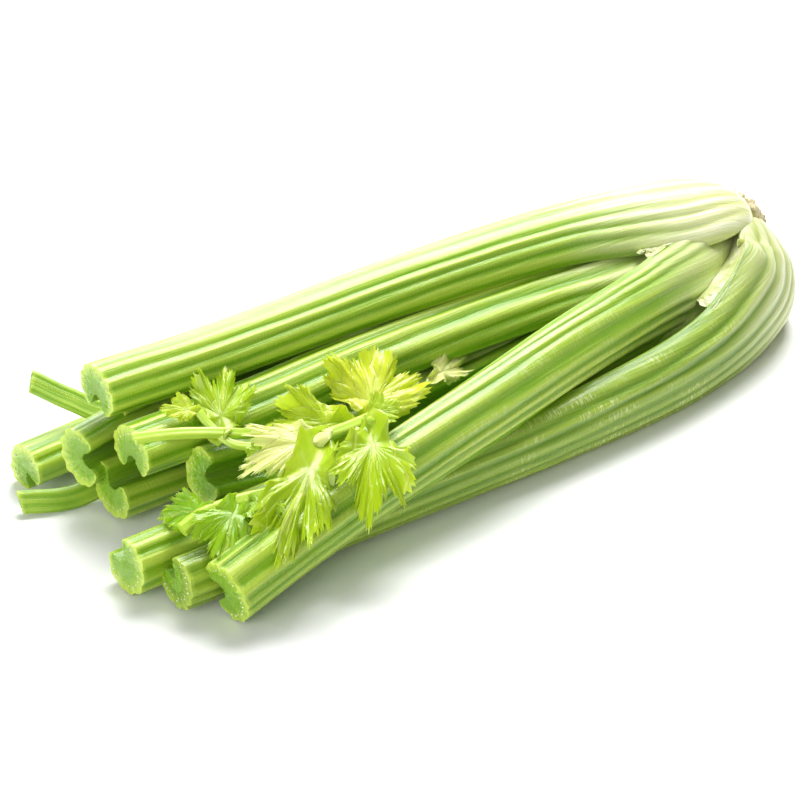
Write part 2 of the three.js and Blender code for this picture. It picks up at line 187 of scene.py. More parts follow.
def new_tree(name, sizes):
    """A geometry tree with named sizes. Returns it with a wire for each of them."""
    tree = bpy.data.node_groups.new(name, "GeometryNodeTree")
    tree.interface.new_socket("Geometry", in_out="INPUT", socket_type="NodeSocketGeometry")
    tree.interface.new_socket("Geometry", in_out="OUTPUT", socket_type="NodeSocketGeometry")
    for size, value in sizes.items():
        tree.interface.new_socket(size, in_out="INPUT", socket_type="NodeSocketFloat").default_value = value
    given = put(tree, "NodeGroupInput")
    return tree, {socket.name: Wire(tree, socket) for socket in given.outputs if socket.name}


def finished(geometry, finishes):
    """Ends a tree: millimetres to metres, real meshes, and a finish for each set of faces."""
    tree = geometry.tree
    node = put(tree, "GeometryNodeTransform", {"Geometry": geometry, "Scale": (MM, MM, MM)})
    node = put(tree, "GeometryNodeMergeByDistance", {"Geometry": Wire(tree, node.outputs[0]), "Distance": 2e-6})
    node = put(tree, "GeometryNodeRealizeInstances", {"Geometry": Wire(tree, node.outputs[0])})
    for finish, chosen in finishes:
        inputs = {"Geometry": Wire(tree, node.outputs[0]), "Material": finish}
        node = put(tree, "GeometryNodeSetMaterial", {**inputs, **({"Selection": chosen} if chosen else {})})
    put(tree, "NodeGroupOutput", {"Geometry": Wire(tree, node.outputs[0])})
    return tree


def sweep(tree, route, start_roll, end_roll, flare, rows, sides, crown_cap, tip_cap):
    """The rows and sides of a closed tube round a route, and the way each row stands."""
    tube = put(tree, "GeometryNodeMeshCylinder", {"Vertices": sides, "Side Segments": rows, "Radius": 1.0,
               "Depth": 1.0}, fill_type="NONE")
    spot = Wire(tree, put(tree, "GeometryNodeInputPosition").outputs[0])
    row = ((spot.part(2) + 0.5) * rows).sum("ROUND")
    turn = spot.part(1).sum("ARCTAN2", spot.part(0)) / math.tau
    share = ((row - crown_cap) / (rows - crown_cap - tip_cap)).sum("MINIMUM", 1.0).sum("MAXIMUM", 0.0)
    fullness = (row / crown_cap).sum("MINIMUM", (rows - row) / tip_cap).sum("MINIMUM", 1.0)
    sample = put(tree, "GeometryNodeSampleCurve", {"Curves": route, "Factor": share}, mode="FACTOR",
                 use_all_curves=True)
    place, along = (Wire(tree, sample.outputs[name]) for name in ("Position", "Tangent"))
    roll = (start_roll + (end_roll - start_roll) * share.ranged(0, ROLL_END)) * (math.pi / 180)
    lean = share.ranged(0, FLARE_END, flare, 0)
    out = joined(lean * math.cos(ROOT_TILT), roll.sum("COSINE") * -1,
                 roll.sum("SINE") + lean * math.sin(ROOT_TILT))
    out = out.vector("SUBTRACT", along.stretched(out.vector("DOT_PRODUCT", along))).vector("NORMALIZE")
    side = along.vector("CROSS_PRODUCT", out)
    return Wire(tree, tube.outputs["Mesh"]), row, turn, share, fullness, place, along, out, side


def arc_of(distance, share, given):
    """Radius, half angle, wall and lip of a stalk's arc-shaped section."""
    width = given["Crown width"] + (given["Tip width"] - given["Crown width"]) * share
    arc, half = measured(distance, 1) * width, measured(distance, 2) * (math.pi / 180)
    middle, margin = measured(distance, 3), measured(distance, 4)
    radius = arc / (half * 2)
    return radius, half, middle, margin, radius * half.sum("SINE") / half


def stored(geometry, name, value, kind="FLOAT_VECTOR"):
    """Keeps a value on the points of a mesh, for its finish to read."""
    node = put(geometry.tree, "GeometryNodeStoreNamedAttribute", {"Geometry": geometry, "Name": name,
               "Value": value}, data_type=kind, domain="POINT")
    return Wire(geometry.tree, node.outputs[0])


def moved(mesh, place):
    """A mesh with its points put in new places."""
    return Wire(mesh.tree, put(mesh.tree, "GeometryNodeSetPosition",
                               {"Geometry": mesh, "Position": place}).outputs[0])


def stalk_tree(skin, flesh):
    """Growth rule of a leaf stalk."""
    tree, given = new_tree("Leaf stalk", {
        "Seat": 0.0, "Tip facing": 0.0, "Crown width": 1.0, "Tip width": 1.0, "Ribs": 8.0, "Grow": 0.0,
        "Greyness": 0.0, "Seed": 0.0})
    route = Wire(tree, put(tree, "GeometryNodeMeshToCurve", {"Mesh": given["Geometry"]}).outputs[0])
    tube, row, turn, share, fullness, place, along, out, side = sweep(
        tree, route, given["Seat"], given["Tip facing"], 1.0, STALK_ROWS, STALK_SIDES, CROWN_CAP, TIP_CAP)
    length = Wire(tree, put(tree, "GeometryNodeCurveLength", {"Curve": route}).outputs[0])
    distance = share * length
    radius, half, middle, margin, centre = arc_of(distance, share, given)
    grow = given["Grow"]
    lip = (margin / 2 + grow) * LIP_ROUND
    reach = radius * half + lip
    lap = turn + 0.5
    back = (BACK_SHARE - lap).sum("SIGN")
    over_back, through_groove = 1 - lap * (2 / BACK_SHARE), (lap - BACK_SHARE) * (2 / (1 - BACK_SHARE)) - 1
    line = over_back.sum("MAXIMUM", through_groove)
    line = line * (1.25 - line * line * 0.25)
    arc = line * reach
    share_out = (arc / (radius * half)).sum("ABSOLUTE")
    wall = (margin + (middle - margin) * (1 - share_out.sum("MINIMUM", 1.0) ** 4.0) + grow * 2) / 2
    end = ((arc.sum("ABSOLUTE") - reach) / (lip * LIP_LENGTH) + 1).sum("MAXIMUM", 0.0).sum("MINIMUM", 1.0)
    rounded = (1 - end * end).sum("SQRT")
    seed = given["Seed"]
    spaced = (arc / (radius * half) + 1) / 2 * given["Ribs"]
    spaced = spaced + (speckle(joined(spaced * 0.55, seed, 0.0), 1.0, 0.0) - 0.5) * 0.9
    spaced = spaced + (speckle(joined(distance / 70, spaced * 0.4, seed), 1.0, 1.0) - 0.5) * 0.3
    crest = (0.5 - (spaced * math.tau).sum("COSINE") / 2) ** 0.7
    tall = speckle(joined(spaced * 0.8, seed + 5, distance / 400), 1.0, 0.0).ranged(0.3, 0.7, 0.6, 1.0)
    outer = back.sum("MAXIMUM", 0.0)
    room = (grow * 10).sum("MINIMUM", 1.0)
    rib = (crest * tall).sum("MAXIMUM", room) * (1 - share_out ** 8.0).sum("MAXIMUM", 0.0)
    rib = rib * distance.ranged(0, RIBS_START, 0, RIB_HEIGHT)
    strand = speckle(joined(distance / 120, arc / 1.3, seed + 3), 1.0, 2.0) - 0.5
    ripple = (speckle(joined(distance / 16, arc / 7, seed), 1.0, 1.0) - 0.5) * 0.35 + strand * 0.32
    level = radius + (back * wall * rounded + (rib + ripple * (1 - room)) * outer * rounded) * fullness
    level = level.sum("MAXIMUM", GROOVE_FLOOR)
    bend = arc / radius
    at_tip = (row - (STALK_ROWS - TIP_CAP - 0.5)).sum("SIGN").sum("MAXIMUM", 0.0)
    ragged = (speckle(joined(arc / 1.6, level / 1.6, given["Seed"]), 1.0, 3.0) - 0.5) * at_tip
    spot = place.vector("ADD", side.stretched(level * bend.sum("SINE")))
    spot = spot.vector("ADD", out.stretched(level * bend.sum("COSINE") - centre))
    spot = spot.vector("ADD", along.stretched(ragged * 1.8))
    spot = joined(spot.part(0), spot.part(1), spot.part(2).sum("MAXIMUM", 0.0))
    growth = joined(distance, arc, crest * tall * outer * (1 - at_tip) + fullness * at_tip)
    tube = stored(stored(tube, "growth", growth), "kind",
                  joined(given["Greyness"], outer, given["Seed"]))
    cut = row.sum("GREATER_THAN", STALK_ROWS - TIP_CAP + 0.25)
    return finished(moved(tube, spot), [(skin, None), (flesh, cut)])


def vessel_tree(finish):
    """The pale ends of the fibre bundles that dot a cut face, one row under the ribs."""
    tree, given = new_tree("Vessel ends", {"Seat": 0.0, "Tip facing": 0.0, "Crown width": 1.0,
                                           "Tip width": 1.0, "Ribs": 8.0, "Seed": 0.0})
    route = Wire(tree, put(tree, "GeometryNodeMeshToCurve", {"Mesh": given["Geometry"]}).outputs[0])
    length = Wire(tree, put(tree, "GeometryNodeCurveLength", {"Curve": route}).outputs[0])
    radius, half, middle, margin, centre = arc_of(length, length * 0 + 1, given)
    line = put(tree, "GeometryNodeMeshLine", {"Count": (given["Ribs"] * 2 - 1)})
    index = Wire(tree, put(tree, "GeometryNodeInputIndex").outputs[0])
    chance = Wire(tree, put(tree, "FunctionNodeRandomValue", {2: -1.0, 3: 1.0, "ID": index,
                  "Seed": given["Seed"]}).outputs[1])
    turn = (index + 1) / given["Ribs"] - 1
    bend = (turn + chance * 0.03) * half
    level = radius + (margin + (middle - margin) * (1 - turn.sum("ABSOLUTE") ** 4.0)) * (0.26 + chance * 0.06)
    sample = put(tree, "GeometryNodeSampleCurve", {"Curves": route, "Factor": 1.0}, mode="FACTOR",
                 use_all_curves=True)
    place, along = (Wire(tree, sample.outputs[name]) for name in ("Position", "Tangent"))
    roll = given["Tip facing"] * (math.pi / 180)
    out = joined(0.0, roll.sum("COSINE") * -1, roll.sum("SINE"))
    out = out.vector("SUBTRACT", along.stretched(out.vector("DOT_PRODUCT", along))).vector("NORMALIZE")
    side = along.vector("CROSS_PRODUCT", out)
    spot = place.vector("ADD", side.stretched(level * bend.sum("SINE")))
    spot = spot.vector("ADD", out.stretched(level * bend.sum("COSINE") - centre))
    spot = spot.vector("ADD", along.stretched(0.1))
    dots = moved(Wire(tree, line.outputs["Mesh"]), spot)
    bead = put(tree, "GeometryNodeMeshIcoSphere", {"Radius": 0.36, "Subdivisions": 2})
    node = put(tree, "GeometryNodeInstanceOnPoints", {"Points": dots, "Instance": Wire(tree, bead.outputs[0]),
               "Scale": joined(chance * 0.25 + 1, chance * 0.25 + 1, chance * 0.25 + 1)})
    return finished(Wire(tree, node.outputs[0]), [(finish, None)])


def placed(points):
    """Points given from the root plate, in the frame of the whole, mm."""
    return [Vector(point) + Vector(HEAD_SHIFT) for point in points]


def route_line(points):
    """A smooth line through given points, as the leaf stalks and stems grow."""
    ends = [2 * points[0] - points[1], *points, 2 * points[-1] - points[-2]]
    line = []
    for a, b, c, d in zip(ends, ends[1:], ends[2:], ends[3:]):
        ab, bc, cd = (math.sqrt((q - p).length) for p, q in ((a, b), (b, c), (c, d)))
        leave = ((b - a) / ab - (c - a) / (ab + bc) + (c - b) / bc) * bc
        arrive = ((c - b) / bc - (d - b) / (bc + cd) + (d - c) / cd) * bc
        for step in range(ROUTE_STEPS):
            t = step / ROUTE_STEPS
            line.append(b + leave * t + (3 * (c - b) - 2 * leave - arrive) * t ** 2
                        + (2 * (b - c) + leave + arrive) * t ** 3)
    return line + [points[-1]]


def plain(piece):
    """Turns a piece and its modifiers into a plain mesh."""
    graph = bpy.context.evaluated_depsgraph_get()
    mesh = bpy.data.meshes.new_from_object(piece.evaluated_get(graph), preserve_all_data_layers=True,
                                           depsgraph=graph)
    piece.modifiers.clear()
    piece.data = mesh
    return piece


def shown(name, mesh):
    """A mesh as an object of the scene."""
    piece = bpy.data.objects.new(name, mesh)
    bpy.context.scene.collection.objects.link(piece)
    return piece


def grown(name, tree, line, sizes):
    """Runs a tree on a line of points and keeps the mesh that it makes."""
    mesh = bpy.data.meshes.new(name)
    mesh.from_pydata(line, [(i, i + 1) for i in range(len(line) - 1)], [])
    piece = shown(name, mesh)
    modifier = piece.modifiers.new("Growth", "NODES")
    modifier.node_group = tree
    for item in tree.interface.items_tree:
        if item.in_out == "INPUT" and item.name in sizes:
            modifier[item.identifier] = float(sizes[item.name])
    plain(piece)
    tidy_faces(piece)
    return piece


def tidy_faces(piece):
    """Turns every face outwards and shades it smooth, save across real edges."""
    work = bmesh.new()
    work.from_mesh(piece.data)
    bmesh.ops.dissolve_degenerate(work, dist=1e-7, edges=work.edges)
    bmesh.ops.recalc_face_normals(work, faces=work.faces)
    work.to_mesh(piece.data)
    work.free()
    piece.data.shade_smooth()
    piece.data.set_sharp_from_angle(angle=math.radians(48))


def trimmed(piece, cutters):
    """Cuts a piece back by its neighbours and keeps its largest body."""
    low, high = corners(piece)
    for cutter in cutters:
        other_low, other_high = corners(cutter)
        if all(low < other_high) and all(other_low < high):
            modifier = piece.modifiers.new("Cut", "BOOLEAN")
            modifier.operation, modifier.solver, modifier.object = "DIFFERENCE", "MANIFOLD", cutter
    if not piece.modifiers:
        return piece
    plain(piece)
    work = bmesh.new()
    work.from_mesh(piece.data)
    left, bodies = set(work.verts), []
    while left:
        body, edge = set(), [left.pop()]
        while edge:
            vert = edge.pop()
            body.add(vert)
            for link in vert.link_edges:
                other = link.other_vert(vert)
                if other in left:
                    left.discard(other)
                    edge.append(other)
        bodies.append(body)
    bodies.sort(key=len)
    bmesh.ops.delete(work, geom=[vert for body in bodies[:-1] for vert in body], context="VERTS")
    work.to_mesh(piece.data)
    work.free()
    piece.data.shade_smooth()
    piece.data.set_sharp_from_angle(angle=math.radians(48))
    return piece


def corners(piece):
    """Lowest and highest corner of a piece."""
    flat = np.empty(len(piece.data.vertices) * 3)
    piece.data.vertices.foreach_get("co", flat)
    return flat.reshape(-1, 3).min(axis=0), flat.reshape(-1, 3).max(axis=0)


def paint(red, green, blue):
    """A colour as it looks, 0 to 255, in the light values that a finish takes."""
    return (*(((v / 255 + 0.055) / 1.055) ** 2.4 if v > 10 else v / 255 / 12.92 for v in (red, green, blue)), 1)


def new_finish(name):
    """An empty finish: its tree and its shader."""
    finish = bpy.data.materials.new(name)
    finish.use_nodes = True
    return finish, finish.node_tree, finish.node_tree.nodes["Principled BSDF"]


def blend(factor, first, second):
    """A colour between two others."""
    node = put(factor.tree, "ShaderNodeMix", {0: factor, 6: first, 7: second}, data_type="RGBA")
    return Wire(factor.tree, node.outputs[2])


def read(tree, name):
    """What a mesh keeps on its points under a name."""
    return Wire(tree, put(tree, "ShaderNodeAttribute", attribute_name=name).outputs["Vector"])


def roughen(shader, height, depth, strength=1.0):
    """Bumps a finish by a height from 0 to 1, depth in metres."""
    node = put(height.tree, "ShaderNodeBump", {"Height": height, "Distance": depth, "Strength": strength})
    height.tree.links.new(node.outputs[0], shader.inputs["Normal"])


def fleshy(shader, **values):
    """Sets the plain numbers of a moist plant finish on its shader."""
    for name, value in values.items():
        shader.inputs[name.replace("_", " ")].default_value = value
    shader.inputs["Subsurface Radius"].default_value = (1.0, 1.4, 0.25)


def stalk_skin():
    """Skin: cream at the crown, yellow-green further on, pale on the ribs, with fine fibres."""
    finish, tree, shader = new_finish("stalk_skin")
    growth, kind = read(tree, "growth"), read(tree, "kind")
    along, across, crest = (growth.part(axis) for axis in range(3))
    greyness_and_shade, outer, seed = (kind.part(axis) for axis in range(3))
    fibre = speckle(joined(along * 0.012, across * 0.9, seed), 1.0, 5.0)
    hair = speckle(joined(along * 0.03, across * 3.2, seed + 4), 1.0, 3.0)
    patch = speckle(joined(along * 0.03, across * 0.08, seed + 9), 1.0, 2.0)
    tick = speckle(joined(along * 1.3, across * 0.35, seed + 2), 1.0, 2.0)
    weave = speckle(joined(along * 2.6, across * 1.1, seed + 6), 1.0, 2.0)
    # Greyness gives darker, greyer copies of the skin colours. Part of it is the duller, streaked skin of outer
    # stalks; part is painted shade on the stalks that lie low and in shade.
    furrow = blend(greyness_and_shade, paint(122, 176, 2), paint(104, 146, 8))
    ridge = blend(greyness_and_shade, paint(198, 222, 84), paint(168, 194, 66))
    green = blend((crest * 0.85 + (fibre - 0.5) * 1.2 + 0.05).ranged(0, 1), furrow, ridge)
    green = blend(((patch - 0.5) * 0.9 + 0.2).ranged(0, 1, 0, 0.5), green, paint(184, 206, 34))
    # The dull crown colours are a darker, greyer copy of the dry ones, partly painted shade.
    dry = blend((fibre * 0.8 + crest * 0.3).ranged(0.2, 0.9), paint(208, 216, 128), paint(242, 244, 210))
    dull_and_shaded = blend((fibre * 0.8 + crest * 0.3).ranged(0.2, 0.9), paint(160, 176, 84), paint(214, 220, 160))
    pale = blend((greyness_and_shade - 0.4) * 1.3, dry, dull_and_shaded)
    tan = ((fibre - 0.54) * 4).sum("MAXIMUM", 0.0) * ((patch - 0.48) * 5).sum("MAXIMUM", 0.0)
    pale = blend(tan.sum("MINIMUM", 0.6), pale, paint(190, 150, 84))
    reach = along + (fibre - 0.5) * 70 + crest * -24 + (patch - 0.5) * 30 + greyness_and_shade * 16
    colour = blend(reach.ranged(12, 112), pale, green)
    scratch = ((tick - 0.52) * 12).ranged(0, 1) * crest.ranged(0.25, 0.7)
    scratch = scratch * ((patch - 0.40) * 5).ranged(0, 1) * (greyness_and_shade * 0.85 + 0.1)
    scratch = scratch * along.ranged(50, 120) * along.ranged(240, 320, 1, 0)
    colour = blend(scratch * 0.8, colour, paint(214, 224, 160))
    inner = blend(fibre, paint(100, 152, 14), paint(150, 192, 44))
    inner = blend(reach.ranged(20, 130), paint(226, 230, 168), inner)
    colour = blend(1 - outer.ranged(0.2, 0.8), colour, inner)
    tree.links.new(colour.socket, shader.inputs["Base Color"])
    rough = (hair * 0.2 + weave * 0.2 + scratch * 0.3 + 0.12).sum("MINIMUM", 1.0)
    tree.links.new(rough.socket, shader.inputs["Roughness"])
    cross = (tick * 0.35 + weave * 0.35) * along.ranged(30, 120)
    roughen(shader, fibre * 0.6 + hair * 0.4 + cross, 0.0012, 0.7)
    fleshy(shader, Subsurface_Weight=0.25, Subsurface_Scale=0.003, IOR=1.45, Coat_Weight=0.35,
           Coat_Roughness=0.16)
    return finish


def cut_flesh():
    """Cut faces: wet, glassy green flesh, paler in the middle, with fine pale specks."""
    finish, tree, shader = new_finish("cut_flesh")
    rim = read(tree, "growth").part(2)
    spot = Wire(tree, put(tree, "ShaderNodeTexCoord").outputs["Object"])
    cloud, grain = speckle(spot, 260.0, 3.0), speckle(spot, 1400.0, 2.0)
    colour = blend(cloud, paint(194, 218, 58), paint(226, 236, 112))
    colour = blend(((grain - 0.6) * 6).ranged(0, 1, 0, 0.5), colour, paint(230, 240, 180))
    colour = blend(rim.ranged(0.86, 1, 0, 0.6), colour, paint(158, 196, 26))
    tree.links.new(colour.socket, shader.inputs["Base Color"])
    roughen(shader, cloud * 0.6 + grain * 0.4, 0.0006, 0.5)
    fleshy(shader, Roughness=0.3, Subsurface_Weight=0.5, Subsurface_Scale=0.004, IOR=1.4, Coat_Weight=0.3,
           Coat_Roughness=0.2)
    return finish


def vessel_pale():
    """Fibre ends: small whitish beads."""
    finish, tree, shader = new_finish("vessel_pale")
    spot = Wire(tree, put(tree, "ShaderNodeTexCoord").outputs["Object"])
    colour = blend(speckle(spot, 900.0), paint(214, 232, 160), paint(240, 246, 214))
    tree.links.new(colour.socket, shader.inputs["Base Color"])
    fleshy(shader, Roughness=0.35, Subsurface_Weight=0.4, Subsurface_Scale=0.001)
    return finish


skin, flesh, bead = stalk_skin(), cut_flesh(), vessel_pale()
stalk_rule, vessel_rule = stalk_tree(skin, flesh), vessel_tree(bead)
crown_up = Vector((-math.sin(ROOT_TILT), 0, math.cos(ROOT_TILT)))
root_normal = Vector((math.cos(ROOT_TILT), 0, math.sin(ROOT_TILT)))


def on_crown(degrees, radius, depth):
    """A point at an angle round the crown, a radius out and a depth below the root plate."""
    angle = math.radians(degrees)
    way = Vector((0, -math.cos(angle), 0)) + crown_up * math.sin(angle)
    return Vector((0, 0, ROOT_HEIGHT)) + way * radius - root_normal * depth


envelopes = []  # the space that each finished piece keeps clear
for number, (name, (seat, whorl, tip, widths, ribs, greyness_and_shade, route)) in enumerate(STALKS.items()):
    line = route_line(placed([on_crown(seat, *WHORL_SEATS[whorl]), *route]))
    sizes = {"Seat": seat, "Tip facing": tip, "Crown width": widths[0], "Tip width": widths[1], "Ribs": ribs,
             "Greyness": greyness_and_shade, "Seed": number * 7.3}
    piece = grown(name + "_fine", stalk_rule, line, sizes)
    trimmed(piece, envelopes)
    envelopes.append(grown(name + "_space", stalk_rule, line, {**sizes, "Grow": CLEARANCE}))
    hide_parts(name)
    dots = grown(name + "_vessels", vessel_rule, line, sizes)
    for part in (piece, dots):
        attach(part, "root")

# Dry films. Thin pale skin, torn at its free end, still joins neighbouring stalks where their
# sheaths part by the crown. Each film is laid from one stalk's skin to the next and crumpled.
FILM_ROWS, FILM_COLUMNS = 90, 24
FILM_THICKNESS, FILM_LIFT = 0.22, 0.25  # mm
# name: crumple in mm, then the two stalks with a line along each, in mm from the root
FILMS = {
    "sheath_film": (0.5, ("stalk_front", [
        (-23, -17, 46), (-29.4, -21.5, 44.5), (-40.2, -27.5, 41.9), (-53.3, -33.2, 40), (-64, -37, 37.5),
        (-71, -38.5, 36)]), ("stalk_low_front", [
            (-27, -27, 54), (-36, -36, 53.5), (-46, -42.5, 50.5), (-57, -47.5, 46), (-67, -51, 41.5),
            (-74, -53, 38.5)])),
    "joint_film": (1.3, ("stalk_top", [(-66, -17, 56.5), (-74, -15, 56), (-83, -12, 55.5)]),
                   ("stalk_front", [(-70, -19, 58), (-76, -20.5, 57.5), (-84, -22, 56.5)])),
}


def film_finish():
    """Dry film: cream white, matt, with faint greenish clouds and fine lines."""
    finish, tree, shader = new_finish("dry_film")
    spot = Wire(tree, put(tree, "ShaderNodeTexCoord").outputs["Object"])
    cloud, grain = speckle(spot, 110.0, 3.0), speckle(spot, 900.0, 3.0)
    colour = blend((cloud * 1.6 - 0.3).ranged(0, 1), paint(190, 210, 104), paint(238, 241, 196))
    tree.links.new(colour.socket, shader.inputs["Base Color"])
    roughen(shader, grain, 0.0008, 0.6)
    fleshy(shader, Roughness=0.4, Subsurface_Weight=0.4, Subsurface_Scale=0.002)
    return finish


def film(name, crumple, *sides):
    """A crumpled sheet between two stalks, thickened to a closed skin."""
    graph = bpy.context.evaluated_depsgraph_get()
    edges = []
    for stalk, line in sides:
        surface, line = BVHTree.FromObject(bpy.data.objects[stalk + "_fine"], graph), route_line(placed(line))
        edge = []
        for row in range(FILM_ROWS + 1):
            touch, normal, *_ = surface.find_nearest(line[round(row / FILM_ROWS * (len(line) - 1))] * MM)
            edge.append(touch + normal * FILM_LIFT * MM)
        edges.append(edge)
    points = []
    for row, ends in enumerate(zip(*edges)):
        for column in range(FILM_COLUMNS + 1):
            across, share = column / FILM_COLUMNS, row / FILM_ROWS
            spot = ends[0].lerp(ends[1], across)
            free = 4 * across * (1 - across)
            shake = noise.noise_vector(spot * 260) + 0.5 * noise.noise_vector(spot * 700)
            points.append(spot + shake * crumple * MM * free * (1 + 3 * share ** 4))
    wide = FILM_COLUMNS + 1
    faces = [(a, a + 1, a + wide + 1, a + wide) for row in range(FILM_ROWS)
             for a in range(row * wide, row * wide + FILM_COLUMNS)]
    mesh = bpy.data.meshes.new(name)
    mesh.from_pydata(points, [], faces)
    piece = shown(name, mesh)
    thicken = piece.modifiers.new("Thickness", "SOLIDIFY")
    thicken.thickness, thicken.offset = FILM_THICKNESS * MM, 0
    return plain(piece)


dry_film = film_finish()
for name, measures in FILMS.items():
    piece = film(name, *measures)
    piece.data.materials.append(dry_film)
    tidy_faces(piece)
    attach(piece, "root")

# Thin stems. Five cut or leafy stems lie among the stalks, round or flattened, with fine
# ridges and a shallow channel; the two inner ones are pale and tender. Same sweep.
STEM_ROWS, STEM_SIDES, STEM_CAP = 110, 48, 6
GREEN, TENDER, BLANCHED = 0.3, 1.0, 2.0
# name: size, flatness, facing, ridges, channel, finish, slot, centre line in mm from the root
STEMS = {
    "stem_back": (10.5, 0.45, 40, 9, 1.3, GREEN, "stalk", [
        (-150, 66, 35), (-220, 70, 34), (-275, 69, 31), (-310, 66.5, 27), (-326, 66, 25.5), (-340, 75.5, 33.5),
        (-352, 86, 42)]),
    "stem_low": (10, 0.55, 30, 8, 1.2, GREEN, "stalk", [
        (-180, 42, 12), (-260, 43, 10), (-305, 43, 10), (-335, 44, 8.5), (-360, 46.5, 5), (-380, 56, 6)]),
    "stem_thin": (6, 0.6, 60, 5, 0.3, GREEN, "stalk", [
        (-160, 20, 47), (-235, 30, 43), (-272, 37, 42), (-300, 40, 42.5), (-336, 41, 41.5)]),
    "heart_stalk": (8.6, 0.85, 60, 7, 0.4, BLANCHED, "heart", [
        (-110, -4, 27), (-150, 0, 26), (-192, 0, 26), (-228, -12, 30), (-246, -24, 36)]),
    "side_stem": (5.4, 0.8, 60, 6, 0.5, TENDER, "heart", [
        (-296, -11, 38), (-312, -12, 45), (-326, -8, 49), (-340, -2, 51), (-354, 5, 51)]),
}


def stem_tree(skin, flesh):
    """Growth rule of a thin stem."""
    tree, given = new_tree("Stem", {"Size": 5.0, "Flatness": 0.8, "Facing": 60.0, "Ridges": 6.0,
                                    "Channel": 0.4, "Grow": 0.0, "Greyness": 0.0, "Seed": 0.0})
    route = Wire(tree, put(tree, "GeometryNodeMeshToCurve", {"Mesh": given["Geometry"]}).outputs[0])
    tube, row, turn, share, fullness, place, along, out, side = sweep(
        tree, route, given["Facing"], given["Facing"], 0.0, STEM_ROWS, STEM_SIDES, STEM_CAP, STEM_CAP)
    length = Wire(tree, put(tree, "GeometryNodeCurveLength", {"Curve": route}).outputs[0])
    distance = share * length
    angle = turn * math.tau
    bare = 1 - (given["Grow"] * 10).sum("MINIMUM", 1.0)
    ridge = (angle * given["Ridges"]).sum("COSINE") * 0.5 + 0.5
    swell = speckle(joined(distance / 16, turn.sum("ABSOLUTE") * 2, given["Seed"]), 1.0, 2.0) - 0.5
    size = given["Size"] / 2 * (1 + (ridge * 0.07 - 0.05 + swell * 0.12) * bare) + given["Grow"]
    thick = given["Size"] / 2 * given["Flatness"] * (1 + (ridge * 0.07 - 0.05 + swell * 0.12) * bare)
    cosine, sine = angle.sum("COSINE"), angle.sum("SINE")
    dip = given["Channel"] * bare * sine.sum("MAXIMUM", 0.0) * sine * sine
    over = cosine * size * fullness
    up = (sine * (thick + given["Grow"]) - dip) * fullness - given["Channel"] * bare * (1 - fullness) * 0.3
    at_end = (row - (STEM_ROWS - STEM_CAP - 0.5)).sum("SIGN").sum("MAXIMUM", 0.0)
    ragged = (speckle(joined(over / 1.2, up / 1.2, given["Seed"]), 1.0, 3.0) - 0.5) * at_end * bare
    spot = place.vector("ADD", side.stretched(over)).vector("ADD", out.stretched(up))
    spot = spot.vector("ADD", along.stretched(ragged * 1.6 + over * at_end * 0.22))
    spot = joined(spot.part(0), spot.part(1), spot.part(2).sum("MAXIMUM", 0.0))
    shade = ridge * 0.4 + swell + 0.25
    growth = joined(distance + 150, angle * size, shade * (1 - at_end) + fullness * at_end)
    tube = stored(stored(tube, "growth", growth), "kind", joined(given["Greyness"], share * 0 + 1, given["Seed"]))
    cut = row.sum("GREATER_THAN", STEM_ROWS - STEM_CAP + 0.25)
    return finished(moved(tube, spot), [(skin, None), (flesh, cut)])


def tender_skin():
    """Young stem skin: pale yellow-green, nearly smooth, with faint lighter ridges."""
    finish, tree, shader = new_finish("tender_skin")
    growth, kind = read(tree, "growth"), read(tree, "kind")
    along, across, crest = (growth.part(axis) for axis in range(3))
    fibre = speckle(joined(along * 0.02, across * 0.6, kind.part(2)), 1.0, 4.0)
    colour = blend(crest * 0.5 + fibre * 0.6, paint(158, 200, 34), paint(208, 228, 96))
    colour = blend((kind.part(0) - TENDER) * along.ranged(150, 300, 0.95, 0.4), colour, paint(234, 239, 168))
    tree.links.new(colour.socket, shader.inputs["Base Color"])
    roughen(shader, fibre, 0.0006, 0.4)
    fleshy(shader, Roughness=0.32, Subsurface_Weight=0.35, Subsurface_Scale=0.003, IOR=1.4, Coat_Weight=0.25,
           Coat_Roughness=0.2)
    return finish


tender = tender_skin()
tender_rule = stem_tree(tender, flesh)
stem_rules = {GREEN: stem_tree(skin, flesh), TENDER: tender_rule, BLANCHED: tender_rule}


def stem(name, size, flatness, facing, ridges, channel, kind, route):
    """A stem and the space that it keeps clear."""
    line = route_line(placed(route))
    sizes = {"Size": size, "Flatness": flatness, "Facing": facing, "Ridges": ridges, "Channel": channel,
             "Greyness": kind, "Seed": len(name) * 3.7}
    space = grown(name + "_space", stem_rules[kind], line, {**sizes, "Grow": CLEARANCE})
    return grown(name, stem_rules[kind], line, sizes), space


for name, (*sizes, slot, route) in STEMS.items():
    piece, space = stem(name + "_fine", *sizes, route)
    trimmed(piece, envelopes)
    envelopes.append(space)
    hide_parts(name)
    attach(piece, "root")

# Leaves. Young lobed blades on short twigs, thin, toothed and fluted at the edge, with pale
# veins that fan out from the foot. They hang over the stalks where the head was trimmed.
# half of the outline: angle from the midrib and distance from the heart of the leaf
LEAF_HALF = [
    (0, 1), (7, 0.85), (13, 0.92), (19, 0.76), (26, 0.78), (33, 0.56), (41, 0.76), (47, 0.72), (53, 0.9),
    (60, 0.79), (68, 0.92), (75, 0.74), (84, 0.79), (93, 0.6), (102, 0.6), (116, 0.42), (145, 0.34),
]
HEART_SHARE = 0.34  # where the heart lies along the midrib
LEAF_RINGS = 16
BLADE, EDGE = 0.55, 0.22  # thickness inside and at the edge, mm
WAVE, FLUTES = 0.07, 5
RUFFLE, TEETH, PLEAT = 0.03, 0.07, 0.045  # waves, teeth and folds along the veins, in leaf lengths
CRINKLE = 0.018
TOOTH_PATTERN = (0.6, -1.0, 0.8, -0.5)
